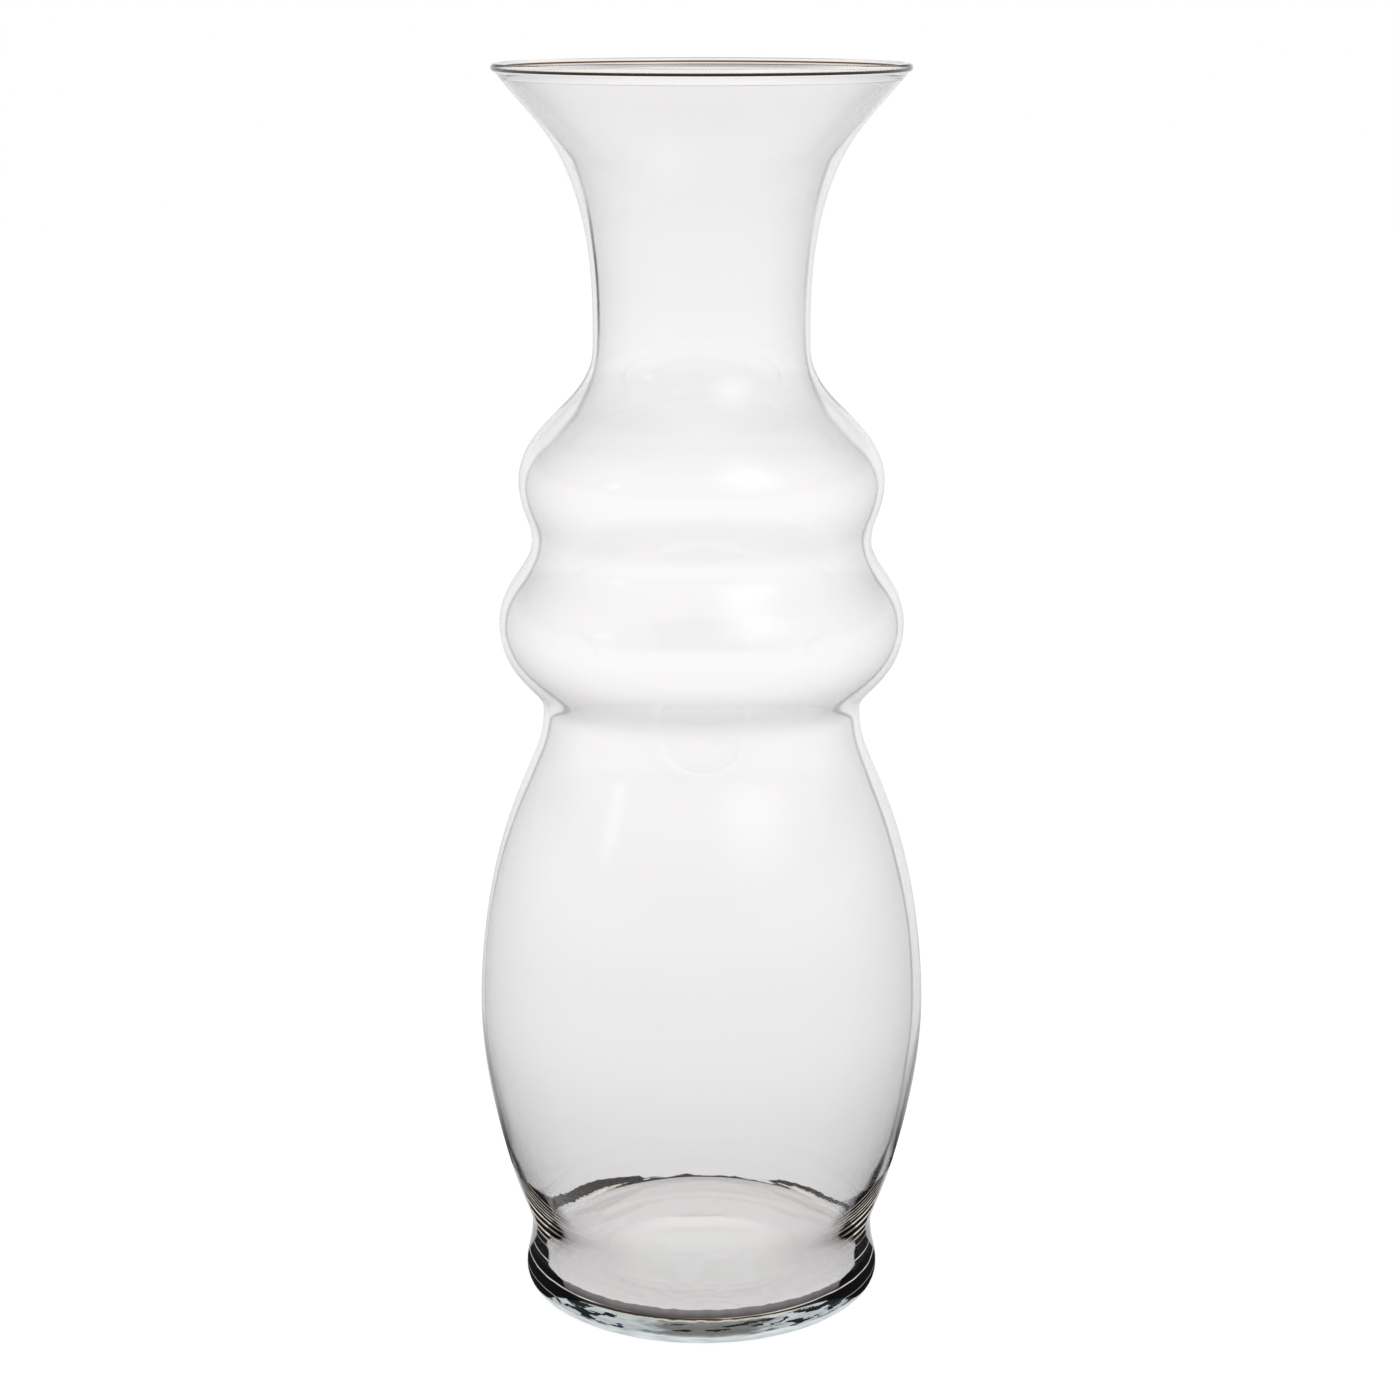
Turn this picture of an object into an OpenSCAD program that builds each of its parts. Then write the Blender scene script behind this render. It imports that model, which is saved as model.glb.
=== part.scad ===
// Tall clear glass flower vase, blown in one piece: a heavy round base, a narrow ankle, a long barrel,
// two stacked bulbs, a slim neck and a trumpet mouth with a fire-polished lip.
// The glass is drawn as the zones it is blown in, stacked from the table up, each meeting the next on a
// plain ring face. The vase stands on z = 0, centred on the z axis. Lengths are millimetres, and every
// width is an outside diameter.

/* [Base] */
// Width of the circle the vase stands on
rest_d = 112.8; // [104:0.2:116]
// Lean of the wall where it leaves the table, in degrees outwards from upright
rest_lean = 67; // [45:1:75]
// Width of the hollow under the base
dish_d = 66; // [50:1:90]
// Depth of the hollow under the base
dish_h = 1.2; // [0.6:0.1:2.5]
// Thickness of the glass from the table to the floor inside
floor_t = 8.3; // [6.5:0.1:10.5]
// Thickness of the wall where it rises from the floor inside
floor_wall = 5.6; // [4:0.1:8]

/* [Foot and ankle] */
// Width of the foot where it bulges most
foot_d = 118; // [117:0.2:124]
// Height of the foot's widest circle above the table
foot_rise = 4; // [3:0.5:5.5]
// Width at the ankle, the narrow place above the foot
ankle_d = 114; // [112:0.2:116]
// Height of the ankle above the foot's widest circle
ankle_rise = 16; // [13:0.5:20]
// Thickness of the wall at the ankle
ankle_wall = 3.6; // [2.6:0.1:6]

/* [Barrel] */
// Greatest width of the barrel
barrel_d = 145.6; // [134:0.2:160]
// Height of the barrel's widest circle above the ankle
barrel_rise = 77; // [60:1:100]
// Thickness of the wall at the barrel's widest circle and up to its shoulder
barrel_wall = 1.8; // [1.2:0.1:3.5]
// Thickness of the wall at the heel, low on the barrel
heel_wall = 2.4; // [1.6:0.1:4]

/* [Waist and bulbs] */
// Width at the waist, the crease between the barrel and the lower bulb
waist_d = 102; // [96:0.2:108]
// Height of the waist above the barrel's widest circle
waist_rise = 100; // [80:1:125]
// Width of the lower bulb
lower_bulb_d = 129.6; // [122:0.2:136]
// Height of the lower bulb's widest circle above the waist
lower_bulb_rise = 28; // [22:1:36]
// Width at the dip between the two bulbs
dip_d = 108; // [100:0.2:112]
// Height of the dip above the lower bulb's widest circle
dip_rise = 27; // [20:1:34]
// Width of the upper bulb
upper_bulb_d = 116; // [113:0.2:124]
// Height of the upper bulb's widest circle above the dip
upper_bulb_rise = 19; // [15:0.5:25]
// Thickness of the wall in the waist and the bulbs
bulb_wall = 1.9; // [1.2:0.1:3.5]

/* [Neck] */
// Width of the neck
neck_d = 68.2; // [62:0.2:74]
// Height from the upper bulb's widest circle to the straight part of the neck
neck_rise = 42; // [34:1:52]
// Length of the straight part of the neck
neck_len = 9; // [6:0.5:20]
// Thickness of the wall in the neck
neck_wall = 1.6; // [1:0.1:3]

/* [Mouth] */
// Width of the wall where it meets the lip bead
lip_d = 126.8; // [112:0.2:140]
// Height from the straight part of the neck to the lip bead
mouth_rise = 75.4; // [60:0.2:95]
// Lean of the wall under the lip, in degrees outwards
lip_lean = 38; // [30:1:46]
// Thickness of the wall in the mouth
mouth_wall = 1.7; // [1.2:0.1:2.2]
// Thickness of the round bead that the flame leaves on the lip
bead_d = 2.6; // [2.4:0.1:4]

/* [Hidden] */

$fn = 96;
// Straight facets that each curved stretch of the outline is drawn with
steps = 8;
// Facets round the lip bead
bead_steps = 20;
// Halvings used to find where an outline crosses a level
halvings = 24;
// How far a cut runs past the face it opens
overrun = 1;

// Clear glass, a little greener and darker where it is thick
thin_glass = [0.88, 0.90, 0.90, 0.45];
thick_glass = [0.72, 0.78, 0.76, 0.60];

// Heights above the table
foot_z = foot_rise;
ankle_z = foot_z + ankle_rise;
barrel_z = ankle_z + barrel_rise;
waist_z = barrel_z + waist_rise;
lower_bulb_z = waist_z + lower_bulb_rise;
dip_z = lower_bulb_z + dip_rise;
upper_bulb_z = dip_z + upper_bulb_rise;
neck_z = upper_bulb_z + neck_rise;
neck_top_z = neck_z + neck_len;
lip_z = neck_top_z + mouth_rise;

// Points of the outline between two stations, as shares of the way from the lower to the upper one:
// of the height, of the width, and of the lean that a straight wall would have there
heel_shares = [0.325, 0.485, 1.30];
shoulder_shares = [0.63, 0.46, 1.55];
slope_shares = [0.525, 0.525, 1.50];
turn_shares = [0.65, 0.31, 1.23];

// A point of the outline between two stations, with its own wall thickness
function between(low, high, shares, wall) =
    let (
        out = high[0] - low[0],
        rise = high[1] - low[1]
    )
    [low[0] + out * shares[1], low[1] + rise * shares[0], atan(out / rise) * shares[2], wall];

// Stations of the outline, each [radius, height, lean outwards, wall thickness]
rest_at = [rest_d / 2, 0, rest_lean, floor_t];
foot_at = [foot_d / 2, foot_z, 0, floor_t];
ankle_at = [ankle_d / 2, ankle_z, 0, ankle_wall];
barrel_at = [barrel_d / 2, barrel_z, 0, barrel_wall];
waist_at = [waist_d / 2, waist_z, 0, bulb_wall];
lower_bulb_at = [lower_bulb_d / 2, lower_bulb_z, 0, bulb_wall];
dip_at = [dip_d / 2, dip_z, 0, bulb_wall];
upper_bulb_at = [upper_bulb_d / 2, upper_bulb_z, 0, bulb_wall];
neck_at = [neck_d / 2, neck_z, 0, neck_wall];
neck_top_at = [neck_d / 2, neck_top_z, 0, neck_wall];
lip_at = [lip_d / 2, lip_z, lip_lean, mouth_wall];
heel_at = between(ankle_at, barrel_at, heel_shares, heel_wall);
shoulder_at = between(barrel_at, waist_at, shoulder_shares, barrel_wall);
slope_at = between(upper_bulb_at, neck_at, slope_shares, bulb_wall);
turn_at = between(neck_top_at, lip_at, turn_shares, mouth_wall);

// How far the wall keeps the lean of a stretch's lower and upper station, as shares of the stretch's rise
foot_hold_shares = [0.45, 0.45];
ankle_hold_shares = [0.30, 0.60];
heel_hold_shares = [0.20, 0.55];
barrel_hold_shares = [0.30, 0.35];
shoulder_hold_shares = [0.20, 0.40];
waist_hold_shares = [0.60, 0.35];
lower_bulb_hold_shares = [0.30, 0.60];
dip_hold_shares = [0.50, 0.35];
upper_bulb_hold_shares = [0.35, 0.45];
slope_hold_shares = [0.45, 0.40];
neck_hold_shares = [0.20, 0.50];
turn_hold_shares = [0.30, 0.35];
lip_hold_shares = [0.45, 0.45];

// Stretches of the outline, each [lower station, upper station, shares of its rise]
foot_run = [rest_at, foot_at, foot_hold_shares];
ankle_run = [foot_at, ankle_at, ankle_hold_shares];
heel_run = [ankle_at, heel_at, heel_hold_shares];
barrel_run = [heel_at, barrel_at, barrel_hold_shares];
shoulder_run = [barrel_at, shoulder_at, shoulder_hold_shares];
waist_run = [shoulder_at, waist_at, waist_hold_shares];
lower_bulb_run = [waist_at, lower_bulb_at, lower_bulb_hold_shares];
dip_run = [lower_bulb_at, dip_at, dip_hold_shares];
upper_bulb_run = [dip_at, upper_bulb_at, upper_bulb_hold_shares];
slope_run = [upper_bulb_at, slope_at, slope_hold_shares];
neck_run = [slope_at, neck_at, neck_hold_shares];
turn_run = [neck_top_at, turn_at, turn_hold_shares];
lip_run = [turn_at, lip_at, lip_hold_shares];

// Unit vector along the wall at a lean, pointing up, as [radius, height]
function along(lean) = [sin(lean), cos(lean)];
// Unit vector square to a direction, pointing out of the wall
function outwards(v) = [v[1], -v[0]] / norm(v);
function place(station) = [station[0], station[1]];

// The four control points of a stretch, which is a cubic Bezier curve
function controls(run) =
    let (
        low = place(run[0]),
        high = place(run[1]),
        rise = high[1] - low[1]
    )
    [
        low,
        low + along(run[0][2]) * rise * run[2][0],
        high - along(run[1][2]) * rise * run[2][1],
        high
    ];

function curve_point(c, t) =
    c[0] * pow(1 - t, 3) + c[1] * 3 * t * pow(1 - t, 2) + c[2] * 3 * pow(t, 2) * (1 - t) + c[3] * pow(t, 3);

function curve_way(c, t) =
    (c[1] - c[0]) * pow(1 - t, 2) + (c[2] - c[1]) * 2 * t * (1 - t) + (c[3] - c[2]) * pow(t, 2);

// Share of the way that rises gently from 0 to 1, so that a changing wall has no corner
function eased(t) = pow(t, 2) * (3 - 2 * t);

function outside_point(run, t) = curve_point(controls(run), t);

function inside_point(run, t) =
    let (
        wall = run[0][3] + (run[1][3] - run[0][3]) * eased(t)
    )
    outside_point(run, t) - outwards(curve_way(controls(run), t)) * wall;

function outside_line(run, from = 0, to = 1) =
    [for (i = [0:steps]) outside_point(run, from + (to - from) * i / steps)];

function inside_line(run) = [for (i = [0:steps]) inside_point(run, i / steps)];

// Leaves out the last point of a line, which the next line starts with
function open_end(line) = [for (i = [0:len(line) - 2]) line[i]];
function turned(line) = [for (i = [len(line) - 1:-1:0]) line[i]];

// Share of a stretch at which it reaches a height
function share_at(run, z, low = 0, high = 1, left = halvings) =
    let (
        middle = (low + high) / 2
    )
    left == 0 ? middle
    : outside_point(run, middle)[1] < z ? share_at(run, z, middle, high, left - 1)
    : share_at(run, z, low, middle, left - 1);

floor_share = share_at(ankle_run, floor_t);

// Inside of the foot, from the edge of the floor to the ankle
floor_edge_at = [outside_point(ankle_run, floor_share)[0] - floor_wall, floor_t, 0];
ankle_inside_at = [ankle_d / 2 - ankle_wall, ankle_z, 0];
floor_edge_hold_shares = [0.40, 0.40];
floor_edge_run = [floor_edge_at, ankle_inside_at, floor_edge_hold_shares];

// A zone of wall, turned from one stretch
module wall_zone(run) {
    rotate_extrude() polygon(concat(outside_line(run), turned(inside_line(run))));
}

module base_slab() {
    dish_r = dish_d / 2;
    dish_curve = (pow(dish_r, 2) + pow(dish_h, 2)) / (2 * dish_h);
    hollow = [
        for (i = [0:steps])
            let (r = dish_r * i / steps)
            [r, dish_h - dish_curve + sqrt(pow(dish_curve, 2) - pow(r, 2))]
    ];
    edge = concat(open_end(outside_line(foot_run)), outside_line(ankle_run, 0, floor_share));
    color(thick_glass)
        rotate_extrude() polygon(concat(hollow, edge, [[0, floor_t]]));
}

module foot_ring() {
    outside = outside_line(ankle_run, floor_share, 1);
    inside = outside_line(floor_edge_run);
    color(thick_glass)
        rotate_extrude() polygon(concat(outside, turned(inside)));
}

module heel_ring() {
    color(thick_glass) wall_zone(heel_run);
}

module barrel_lower() {
    color(thin_glass) wall_zone(barrel_run);
}

module barrel_upper() {
    color(thin_glass) wall_zone(shoulder_run);
}

module barrel_shoulder() {
    color(thin_glass) wall_zone(waist_run);
}

module lower_bulb_cup() {
    color(thin_glass) wall_zone(lower_bulb_run);
}

module lower_bulb_crown() {
    color(thin_glass) wall_zone(dip_run);
}

module upper_bulb_cup() {
    color(thin_glass) wall_zone(upper_bulb_run);
}

module upper_bulb_crown() {
    color(thin_glass) wall_zone(slope_run);
}

module neck_slope() {
    color(thin_glass) wall_zone(neck_run);
}

module neck() {
    color(thin_glass)
        translate([0, 0, neck_z])
        difference() {
            cylinder(h = neck_len, d = neck_d);
            translate([0, 0, -overrun])
                cylinder(h = neck_len + 2 * overrun, d = neck_d - 2 * neck_wall);
        }
}

module neck_flare() {
    color(thin_glass) wall_zone(turn_run);
}

module trumpet_mouth() {
    color(thin_glass) wall_zone(lip_run);
}

// The bead is the part of a round section that stands beyond the end of the wall
module lip_bead() {
    up = along(lip_lean);
    half_wall = mouth_wall / 2;
    bead_r = bead_d / 2;
    wall_end = place(lip_at) - outwards(up) * half_wall;
    middle = wall_end + up * sqrt(pow(bead_r, 2) - pow(half_wall, 2));
    start = -lip_lean - acos(half_wall / bead_r);
    turn = 180 + 2 * acos(half_wall / bead_r);
    round = [
        for (i = [0:bead_steps])
            let (a = start + turn * i / bead_steps)
            middle + [cos(a), sin(a)] * bead_r
    ];
    color(thin_glass)
        rotate_extrude() polygon(round);
}

base_slab();
foot_ring();
heel_ring();
barrel_lower();
barrel_upper();
barrel_shoulder();
lower_bulb_cup();
lower_bulb_crown();
upper_bulb_cup();
upper_bulb_crown();
neck_slope();
neck();
neck_flare();
trumpet_mouth();
lip_bead();
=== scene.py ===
import math

import bpy
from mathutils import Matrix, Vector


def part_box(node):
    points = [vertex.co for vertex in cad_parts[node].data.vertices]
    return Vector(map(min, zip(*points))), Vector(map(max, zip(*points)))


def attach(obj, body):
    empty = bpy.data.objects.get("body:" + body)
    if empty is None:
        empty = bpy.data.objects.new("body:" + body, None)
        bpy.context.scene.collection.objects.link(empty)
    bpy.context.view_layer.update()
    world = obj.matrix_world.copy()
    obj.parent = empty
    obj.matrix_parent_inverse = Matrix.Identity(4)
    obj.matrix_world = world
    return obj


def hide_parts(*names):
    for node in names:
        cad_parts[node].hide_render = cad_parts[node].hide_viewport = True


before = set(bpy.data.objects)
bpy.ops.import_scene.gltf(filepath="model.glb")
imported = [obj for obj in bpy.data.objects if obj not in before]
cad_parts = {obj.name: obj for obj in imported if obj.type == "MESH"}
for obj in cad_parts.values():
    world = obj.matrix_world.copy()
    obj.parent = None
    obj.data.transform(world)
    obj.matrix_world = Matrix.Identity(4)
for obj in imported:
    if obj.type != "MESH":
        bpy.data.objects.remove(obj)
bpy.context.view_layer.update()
bpy.ops.object.select_all(action="DESELECT")
scene = bpy.context.scene
scene.view_settings.view_transform = "Standard"
print("frame loaded:", len(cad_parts), "zones of glass")

# the camera stands back from the vase and looks a little down on it
cameraValues = {
    "lens": 73.3,
    "film": 36,
    "place": (-0.0005, -0.8935, 0.4241),
    "tilt": 14.15,  # degrees below level
    "nearest": 0.01,
}


def addCamera(values):
    bpy.ops.object.camera_add(location=values["place"])
    camera = bpy.context.active_object
    camera.name = "photo camera"
    camera.rotation_euler = (math.radians(90 - values["tilt"]), 0, 0)
    camera.data.lens = values["lens"]
    camera.data.sensor_width = values["film"]
    camera.data.clip_start = values["nearest"]
    scene.camera = camera


addCamera(cameraValues)
print("camera placed")


# small helpers for node trees
def freshTree(owner):
    owner.use_nodes = True
    owner.node_tree.nodes.clear()
    return owner.node_tree


def put(tree, kind, **settings):
    count = len(tree.nodes)
    node = tree.nodes.new(kind)
    node.location = (count % 10 * 220, count // 10 * -320)  # ten nodes to a row
    for name, value in settings.items():
        setattr(node, name, value)
    return node


def wire(tree, source, target):
    tree.links.new(source, target)


def feed(tree, socket, value):
    # a plain number or colour is set, anything else is wired
    if isinstance(value, (int, float)):
        socket.default_value = value
    elif isinstance(value, tuple):
        socket.default_value = (*value, 1)
    else:
        wire(tree, value, socket)


def rampOf(tree, value, stops):
    node = put(tree, "ShaderNodeValToRGB")
    ramp = node.color_ramp
    while len(ramp.elements) > 1:
        ramp.elements.remove(ramp.elements[-1])
    ramp.elements[0].position = stops[0][0]
    ramp.elements[0].color = (*stops[0][1], 1)
    for place, colour in stops[1:]:
        ramp.elements.new(place).color = (*colour, 1)
    wire(tree, value, node.inputs[0])
    return node.outputs[0]


def greys(stops):
    return [(place, (number,) * 3) for place, number in stops]


def maths(tree, operation, first, second=None, held=False):
    node = put(tree, "ShaderNodeMath", operation=operation, use_clamp=held)
    feed(tree, node.inputs[0], first)
    if second is not None:
        feed(tree, node.inputs[1], second)
    return node.outputs[0]


def times(tree, first, *others):
    for other in others:
        first = maths(tree, "MULTIPLY", first, other)
    return first


def plus(tree, first, *others):
    for other in others:
        first = maths(tree, "ADD", first, other)
    return first


def minus(tree, first, second):
    return maths(tree, "SUBTRACT", first, second)


def mapped(tree, value, low, high, toLow=0.0, toHigh=1.0, smooth=False):
    node = put(tree, "ShaderNodeMapRange", interpolation_type="SMOOTHSTEP" if smooth else "LINEAR")
    feed(tree, node.inputs["Value"], value)
    for name, number in (("From Min", low), ("From Max", high), ("To Min", toLow), ("To Max", toHigh)):
        feed(tree, node.inputs[name], number)
    return node.outputs[0]


def mixed(tree, factor, first, second, blend="MIX", held=False):
    node = put(tree, "ShaderNodeMix", data_type="RGBA", blend_type=blend, clamp_result=held)
    for socket, value in ((node.inputs[0], factor), (node.inputs[6], first), (node.inputs[7], second)):
        feed(tree, socket, value)
    return node.outputs[2]


def curveOf(tree, value, stops):
    # a number that follows another one through the given (place, number) stops
    low, high = stops[0][0], stops[-1][0]
    places = greys([((place - low) / (high - low), number) for place, number in stops])
    return rampOf(tree, mapped(tree, value, low, high), places)


def noiseOn(tree, coords, scale, size, detail):
    place = put(tree, "ShaderNodeMapping")
    place.inputs["Scale"].default_value = size
    wire(tree, coords, place.inputs["Vector"])
    noise = put(tree, "ShaderNodeTexNoise")
    noise.inputs["Scale"].default_value = scale
    noise.inputs["Detail"].default_value = detail
    wire(tree, place.outputs[0], noise.inputs["Vector"])
    return noise.outputs[0]


def partsOf(tree, vector):
    split = put(tree, "ShaderNodeSeparateXYZ")
    wire(tree, vector, split.inputs[0])
    return split.outputs["X"], split.outputs["Y"], split.outputs["Z"]


def dotOf(tree, first, second):
    node = put(tree, "ShaderNodeVectorMath", operation="DOT_PRODUCT")
    wire(tree, first, node.inputs[0])
    if isinstance(second, tuple):
        node.inputs[1].default_value = second
    else:
        wire(tree, second, node.inputs[1])
    return node.outputs["Value"]


# white backdrop all round, dimmer overhead, soft lamps that only reflections see, and the floor
studioValues = {
    "backdrop": 1.0,
    # seen through the glass: the room from straight down to straight up, and the floor from steep to level
    "overhead": ((0.0, 1), (0.84, 1), (0.95, 0.55), (1.0, 0.5)),
    # painted shade: the floor seen steeply through the glass, under the vase, is darker
    "floorSteep": ((0.0, 0.35), (0.1, 0.4), (0.33, 0.95), (1.0, 1)),
    "roomDim": 0.35,  # room that plain reflections see, away from the lamps
    "roomLow": 0.9,  # and near the level of the horizon
    "lamps": (  # azimuth from the front, elevation, width and height in degrees, and strength
        (36, 42, 72, 68, 2.1), (-59, 22, 18, 18, 1.3), (165, 40, 60, 50, 1.2),
    ),
    "roomLevels": (0.42, 0.47, 0.54, 0.62),  # between them it turns light and dim again, 0 down, 1 up
    "floorRoom": (0.40, 0.75),  # the reflected floor turns light between these, 0 straight down, 1 level
    "roomInside": 0.2,  # share of the room in what the glass reflects inside itself
    "lampInside": 0.25,  # and of the lamps
    "floorLevel": -0.0002,
    "floorSize": 8.0,
    "floorGlow": 0.9,
    "floorPaint": 0.3,
    "footShade": (0.11, 0.18),  # distances between which the reflected floor darkens towards the foot
    "footDarkest": 0.03,
}


def softLamp(tree, direction, azimuth, elevation, wide, tall):
    # a soft patch of light in the room, 1 in its middle and 0 outside
    around = math.radians(azimuth)
    ahead = dotOf(tree, direction, (math.sin(around), -math.cos(around), 0))
    side = dotOf(tree, direction, (math.cos(around), math.sin(around), 0))
    bearing = maths(tree, "ABSOLUTE", maths(tree, "ARCTAN2", side, ahead))
    rise = minus(tree, maths(tree, "ARCSINE", partsOf(tree, direction)[2]), math.radians(elevation))
    rise = maths(tree, "ABSOLUTE", rise)
    inWidth = mapped(tree, bearing, math.radians(wide / 2), 0, 0, 1, True)
    inHeight = mapped(tree, rise, math.radians(tall / 2), 0, 0, 1, True)
    return times(tree, inWidth, inHeight)


def addWorld(values):
    world = bpy.data.worlds.new("white studio")
    scene.world = world
    tree = freshTree(world)
    output = put(tree, "ShaderNodeOutputWorld")
    background = put(tree, "ShaderNodeBackground")
    path = put(tree, "ShaderNodeLightPath").outputs
    direction = put(tree, "ShaderNodeTexCoord").outputs["Generated"]
    height = mapped(tree, partsOf(tree, direction)[2], -1, 1)
    seen = rampOf(tree, height, greys(values["overhead"]))
    low, dim = values["roomLow"], values["roomDim"]
    levels = (0.0, *values["roomLevels"], 1.0)
    room = rampOf(tree, height, greys(zip(levels, (dim, dim, low, low, dim, dim))))
    lamps = None
    for azimuth, elevation, wide, tall, strength in values["lamps"]:
        lamp = times(tree, softLamp(tree, direction, azimuth, elevation, wide, tall), strength)
        lamps = lamp if lamps is None else maths(tree, "MAXIMUM", lamps, lamp)
    lamps = times(tree, lamps, mapped(tree, path["Transmission Depth"], 0, 1, 1, values["lampInside"]))
    within = mapped(tree, path["Transmission Depth"], 0, 1, 1, values["roomInside"])
    lit = mixed(tree, 1.0, mixed(tree, 1.0, room, within, "MULTIPLY"), lamps, "ADD")
    through = mixed(tree, path["Is Transmission Ray"], lit, seen)
    colour = mixed(tree, path["Is Camera Ray"], through, (values["backdrop"],) * 3)
    wire(tree, colour, background.inputs["Color"])
    wire(tree, background.outputs[0], output.inputs["Surface"])


def addFloor(values):
    bpy.ops.mesh.primitive_plane_add(size=values["floorSize"], location=(0, 0, values["floorLevel"]))
    floor = bpy.context.active_object
    floor.name = "studio floor"
    material = bpy.data.materials.new("white table")
    tree = freshTree(material)
    output = put(tree, "ShaderNodeOutputMaterial")
    path = put(tree, "ShaderNodeLightPath").outputs
    matt = put(tree, "ShaderNodeBsdfDiffuse")
    matt.inputs["Color"].default_value = (values["floorPaint"],) * 3 + (1,)
    glow = put(tree, "ShaderNodeEmission")
    glow.inputs["Color"].default_value = (values["floorGlow"],) * 3 + (1,)
    both = put(tree, "ShaderNodeAddShader")
    wire(tree, matt.outputs[0], both.inputs[0])
    wire(tree, glow.outputs[0], both.inputs[1])

    # what the glass shows of the floor, in its reflections and through it, with painted shade near the foot
    facing = put(tree, "ShaderNodeLayerWeight").outputs["Facing"]
    seen = rampOf(tree, facing, greys(values["floorSteep"]))
    low, dim = values["roomLow"], values["roomDim"]
    levels = (0.0, *values["floorRoom"], 1.0)
    room = rampOf(tree, facing, greys(zip(levels, (dim, dim, low, low))))
    away = put(tree, "ShaderNodeVectorMath", operation="LENGTH")
    wire(tree, put(tree, "ShaderNodeTexCoord").outputs["Object"], away.inputs[0])
    near = mapped(tree, away.outputs["Value"], *values["footShade"], values["footDarkest"], 1, True)
    reflected = mixed(tree, 1.0, room, near, "MULTIPLY")
    backdrop = put(tree, "ShaderNodeEmission")
    wire(tree, mixed(tree, path["Is Transmission Ray"], reflected, seen), backdrop.inputs["Color"])

    choose = put(tree, "ShaderNodeMixShader")
    wire(tree, path["Is Camera Ray"], choose.inputs[0])
    wire(tree, backdrop.outputs[0], choose.inputs[1])
    wire(tree, both.outputs[0], choose.inputs[2])
    wire(tree, choose.outputs[0], output.inputs["Surface"])
    floor.data.materials.append(material)


addWorld(studioValues)
addFloor(studioValues)
print("studio lit")

# the vase: one wall of glass, turned from a line that runs up its outside and down its inside
vaseValues = {
    "turns": 288,
    "restRadius": 0.0564,
    "restLean": 67,
    "footHeight": 0.004,
    "ankleRadius": 0.057,
    "heel": (0.0647, 0.045, 15),  # radius, height, lean outwards in degrees
    "shoulder": (0.0628, 0.160, -19),
    "waistRadius": 0.051,
    "dipRadius": 0.054,
    "slope": (0.0454, 0.293, -44),
    "turn": (0.0432, 0.371, 26),
    "lip": (0.0634, 0.3974, 38),
    "ankleWall": 0.0036,
    "heelWall": 0.0024,
    "barrelWall": 0.0018,
    "bulbWall": 0.0019,
    "neckWall": 0.0016,
    "mouthWall": 0.0017,
    "beadRadius": 0.0013,
    "beadSteps": 16,
    "floorRadius": 0.053,
    "cornerRadius": 0.0012,
    "dishRadius": 0.033,
    "dishDepth": 0.0012,
    "dishSteps": 7,
    "floorSteps": 8,
    "cornerSteps": 6,
    # for each stretch, from the table up: how far it keeps its direction at its two ends, and its steps
    "footCurves": ((0.45, 0.45, 7), (0.30, 0.60, 12)),
    "wallCurves": (
        (0.20, 0.55, 14), (0.30, 0.35, 12), (0.20, 0.40, 14), (0.60, 0.35, 14), (0.30, 0.60, 14),
        (0.50, 0.35, 11), (0.35, 0.45, 8), (0.45, 0.40, 9), (0.20, 0.50, 9), (0.33, 0.33, 2),
        (0.30, 0.35, 14), (0.45, 0.45, 10),
    ),
    "cornerCurve": (0.4, 0.4, 8),
    "merge": 0.00002,  # points closer than this are one point
}


def halfWidth(name):
    low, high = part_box(name)
    return (high.x - low.x) / 2


def topOf(name):
    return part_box(name)[1].z


def curveBetween(low, high, holdLow, holdHigh, count):
    # points of a stretch from one station to the next: each (place, direction along the wall, wall)
    rise = high[1] - low[1]
    lowLean, highLean = math.radians(low[2]), math.radians(high[2])
    first = (low[0], low[1])
    second = (low[0] + math.sin(lowLean) * rise * holdLow, low[1] + math.cos(lowLean) * rise * holdLow)
    third = (high[0] - math.sin(highLean) * rise * holdHigh, high[1] - math.cos(highLean) * rise * holdHigh)
    fourth = (high[0], high[1])
    points = []
    for step in range(count + 1):
        t = step / count
        place, way = [], []
        for a, b, c, d in zip(first, second, third, fourth):
            place.append(a * (1 - t) ** 3 + b * 3 * t * (1 - t) ** 2 + c * 3 * t * t * (1 - t) + d * t ** 3)
            way.append((b - a) * (1 - t) ** 2 + (c - b) * 2 * t * (1 - t) + (d - c) * t * t)
        size = math.hypot(*way)
        wall = low[3] + (high[3] - low[3]) * t * t * (3 - 2 * t)
        points.append((place, (way[0] / size, way[1] / size), wall))
    return points


def alongWall(stations, curves):
    # points of several stretches, one after another
    points = []
    for low, high, (holdLow, holdHigh, count) in zip(stations, stations[1:], curves):
        stretch = curveBetween(low, high, holdLow, holdHigh, count)
        points += stretch[1:] if points else stretch
    return points


def undersideOf(values):
    # hollow under the base, from its middle out to the ring it stands on
    dish, depth, steps = values["dishRadius"], values["dishDepth"], values["dishSteps"]
    bend = (dish ** 2 + depth ** 2) / (2 * depth)
    points = []
    for step in range(steps + 1):
        radius = dish * step / steps
        points.append((radius, depth - bend + math.sqrt(bend ** 2 - radius ** 2)))
    points.append(((dish + values["restRadius"]) / 2, 0))
    return points


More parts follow.
